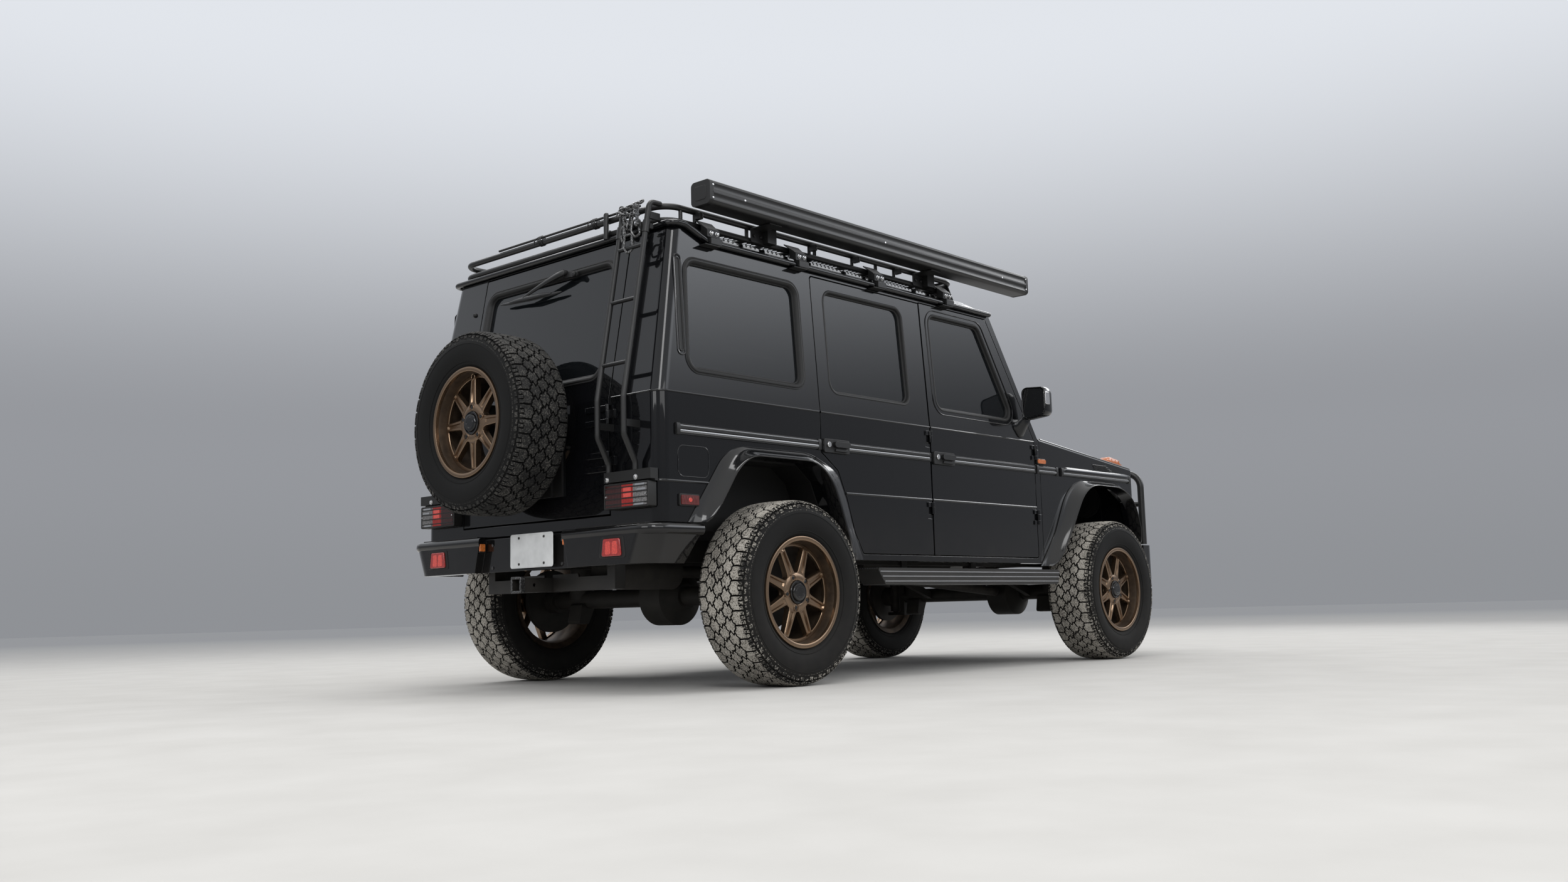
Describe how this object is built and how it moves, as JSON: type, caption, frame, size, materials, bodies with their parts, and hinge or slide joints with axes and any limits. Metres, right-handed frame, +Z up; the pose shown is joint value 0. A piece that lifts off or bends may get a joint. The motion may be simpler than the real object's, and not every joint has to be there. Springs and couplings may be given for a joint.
{
  "type": "lifted off-road 4x4",
  "caption": "Boxy long-wheelbase off-road vehicle on lifted suspension, with side doors, a side-hinged rear door carrying the spare wheel, a roof rack, an awning case and a ladder.",
  "frame": {"origin": "on the ground under the middle of the vehicle's length and width", "axes": "+X forward, +Y to the vehicle's left, +Z up"},
  "size_m": [4.665, 2.048, 2.1949],
  "materials": {
    "body_paint": "gloss black",
    "black_trim": "satin moulded black",
    "satin_black_metal": "satin black powder coat",
    "frame_black": "semi-matt chassis black with road dust",
    "hub_metal": "cast, dusty",
    "tinted_glass": "dark tint",
    "tyre_rubber": "dusty off-road tread",
    "bronze_wheel": "satin bronze alloy",
    "red_lens": "red and clear lens",
    "clear_lens": "clear lens",
    "awning_aluminium": "black anodised extrusion",
    "interior_plastic": "grained black",
    "seat_leather": "black leather"
  },
  "bodies": {
    "body": {"body_shell": "body_paint", "roof_panel": "body_paint", "front_fenders": "body_paint", "nose_panel": "body_paint", "cowl": "black_trim", "grille": "black_trim", "fender_flares": "black_trim", "lamp_brackets": "black_trim", "front_bumper": "satin_black_metal", "rear_bumper": "satin_black_metal", "brush_guard": "satin_black_metal", "roof_rack": "satin_black_metal", "ladder": "satin_black_metal", "running_boards": "satin_black_metal", "chassis_frame": "frame_black", "hitch_receiver": "frame_black", "engine_bay": "frame_black", "floor_tub": "frame_black", "front_axle": "frame_black", "rear_axle": "frame_black", "suspension": "frame_black", "fuel_tank": "frame_black", "power_train": "hub_metal", "exhaust": "hub_metal", "fixed_glass": "tinted_glass", "tail_lamps": "red_lens", "front_lamps": "clear_lens", "awning_case": "awning_aluminium", "dashboard": "interior_plastic", "steering_wheel": "interior_plastic", "seats": "seat_leather"},
    "bonnet": {"bonnet": "body_paint"},
    "rear_door": {"rear_door": "body_paint", "glass_rear": "tinted_glass", "spare_carrier": "satin_black_metal", "rim_spare": "bronze_wheel", "tyre_spare": "tyre_rubber"},
    "knuckle_left": {"knuckle_left": "hub_metal"},
    "knuckle_right": {"knuckle_right": "hub_metal"},
    "door_front_left": {"door_front_left": "body_paint", "glass_front_left": "tinted_glass", "mirror_left": "body_paint"},
    "door_rear_left": {"door_rear_left": "body_paint", "glass_rear_left": "tinted_glass"},
    "wheel_front_left": {"tyre_front_left": "tyre_rubber", "rim_front_left": "bronze_wheel"},
    "wheel_rear_left": {"tyre_rear_left": "tyre_rubber", "rim_rear_left": "bronze_wheel"},
    "door_front_right": {"door_front_right": "body_paint", "glass_front_right": "tinted_glass", "mirror_right": "body_paint"},
    "door_rear_right": {"door_rear_right": "body_paint", "glass_rear_right": "tinted_glass"},
    "wheel_front_right": {"tyre_front_right": "tyre_rubber", "rim_front_right": "bronze_wheel"},
    "wheel_rear_right": {"tyre_rear_right": "tyre_rubber", "rim_rear_right": "bronze_wheel"}
  },
  "joints": [
    {"name": "wheel_spin_front_left", "type": "hinge", "parent": "knuckle_left", "child": "wheel_front_left", "pos_m": [1.5865, 0.86, 0.408], "axis": [0, 1, 0], "continuous": true},
    {"name": "wheel_spin_rear_left", "type": "hinge", "parent": "body", "child": "wheel_rear_left", "pos_m": [-1.2635, 0.86, 0.408], "axis": [0, 1, 0], "continuous": true},
    {"name": "steer_left", "type": "hinge", "parent": "body", "child": "knuckle_left", "pos_m": [1.5865, 0.69, 0.408], "axis": [0, 0, 1], "range_deg": [-30, 30]},
    {"name": "door_front_left_hinge", "type": "hinge", "parent": "body", "child": "door_front_left", "pos_m": [0.9305, 0.852, 1.005], "axis": [0, 0, -1], "range_deg": [0, 70]},
    {"name": "door_rear_left_hinge", "type": "hinge", "parent": "body", "child": "door_rear_left", "pos_m": [-0.0855, 0.852, 1.005], "axis": [0, 0, -1], "range_deg": [0, 70]},
    {"name": "wheel_spin_front_right", "type": "hinge", "parent": "knuckle_right", "child": "wheel_front_right", "pos_m": [1.5865, -0.86, 0.408], "axis": [0, 1, 0], "continuous": true},
    {"name": "wheel_spin_rear_right", "type": "hinge", "parent": "body", "child": "wheel_rear_right", "pos_m": [-1.2635, -0.86, 0.408], "axis": [0, 1, 0], "continuous": true},
    {"name": "steer_right", "type": "hinge", "parent": "body", "child": "knuckle_right", "pos_m": [1.5865, -0.69, 0.408], "axis": [0, 0, 1], "range_deg": [-30, 30]},
    {"name": "door_front_right_hinge", "type": "hinge", "parent": "body", "child": "door_front_right", "pos_m": [0.9305, -0.852, 1.005], "axis": [0, 0, 1], "range_deg": [0, 70]},
    {"name": "door_rear_right_hinge", "type": "hinge", "parent": "body", "child": "door_rear_right", "pos_m": [-0.0855, -0.852, 1.005], "axis": [0, 0, 1], "range_deg": [0, 70]},
    {"name": "rear_door_hinge", "type": "hinge", "parent": "body", "child": "rear_door", "pos_m": [-1.9885, -0.531, 1.1], "axis": [0, 0, 1], "range_deg": [0, 90]},
    {"name": "bonnet_hinge", "type": "hinge", "parent": "body", "child": "bonnet", "pos_m": [1.0295, 0, 1.28484], "axis": [0, -1, 0], "range_deg": [0, 60]}
  ],
  "couplings": [
    {"joint": "steer_right", "follows": "steer_left", "ratio": 1}
  ]
}
